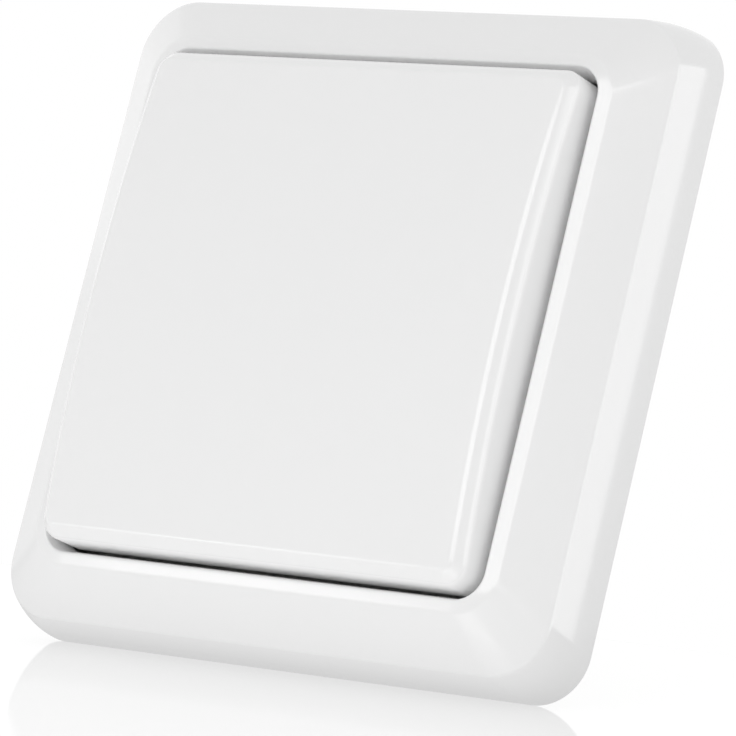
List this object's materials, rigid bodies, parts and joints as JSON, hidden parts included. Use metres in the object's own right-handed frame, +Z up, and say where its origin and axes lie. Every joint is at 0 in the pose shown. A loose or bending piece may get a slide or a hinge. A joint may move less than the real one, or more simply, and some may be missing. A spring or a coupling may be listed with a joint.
{
  "type": "wireless remote wall switch",
  "caption": "Square white surface-mounted wireless wall switch: a bevelled frame round one large crowned rocker that see-saws on a battery-powered radio module.",
  "frame": {"origin": "centre of the wall plate's back face, on the wall", "axes": "+Z up the wall, +Y into the wall, +X to the right seen from the room; the rocker faces -Y"},
  "size_m": [0.08, 0.0171, 0.08],
  "materials": {
    "frame_white": "glossy moulded white",
    "rocker_white": "glossy moulded white",
    "plate_white": "satin moulded white",
    "module_white": "satin moulded white",
    "screw_steel": "zinc plated",
    "board_green": "solder mask",
    "cell_steel": "plain steel",
    "clip_steel": "nickel plated spring sheet",
    "pad_tin": "tinned",
    "switch_black": "moulded",
    "switch_tin": "tinned sheet",
    "plunger_black": "moulded",
    "dome_steel": "sprung sheet",
    "chip_black": "moulded epoxy",
    "lead_tin": "tinned",
    "can_nickel": "nickel plated",
    "resistor_black": "coated",
    "capacitor_tan": "fired",
    "antenna_copper": "bare copper wire"
  },
  "bodies": {
    "housing": {"antenna_wire": "antenna_copper", "battery_clip": "clip_steel", "battery_pad": "pad_tin", "chip_capacitors": "capacitor_tan", "chip_resistors": "resistor_black", "circuit_board": "board_green", "coin_cell": "cell_steel", "encoder_chip": "chip_black", "encoder_chip_legs": "lead_tin", "frame": "frame_white", "lower_switch_body": "switch_black", "lower_switch_dome": "dome_steel", "lower_switch_legs": "lead_tin", "lower_switch_plate": "switch_tin", "module_base": "module_white", "module_cover": "module_white", "module_screws": "screw_steel", "rf_transistor": "chip_black", "rf_transistor_legs": "lead_tin", "saw_resonator": "can_nickel", "upper_switch_body": "switch_black", "upper_switch_dome": "dome_steel", "upper_switch_legs": "lead_tin", "upper_switch_plate": "switch_tin", "wall_plate": "plate_white"},
    "rocker": {"rocker": "rocker_white"},
    "upper_plunger": {"upper_switch_plunger": "plunger_black"},
    "lower_plunger": {"lower_switch_plunger": "plunger_black"}
  },
  "joints": [
    {"name": "rocker_rock", "type": "hinge", "parent": "housing", "child": "rocker", "pos_m": [0, -0.009, 0], "axis": [1, 0, 0], "range_deg": [-1.2, 1.2], "stiffness_Nm_per_rad": 0.8},
    {"name": "upper_plunger_slide", "type": "slide", "parent": "housing", "child": "upper_plunger", "axis": [0, 1, 0], "range_m": [-0.0004, 0.0004], "deforming": ["upper_switch_dome"]},
    {"name": "lower_plunger_slide", "type": "slide", "parent": "housing", "child": "lower_plunger", "axis": [0, 1, 0], "range_m": [-0.0004, 0.0004], "deforming": ["lower_switch_dome"]}
  ],
  "couplings": [
    {"joint": "upper_plunger_slide", "follows": "rocker_rock", "m_per_rad": -0.018},
    {"joint": "lower_plunger_slide", "follows": "rocker_rock", "m_per_rad": 0.018}
  ]
}
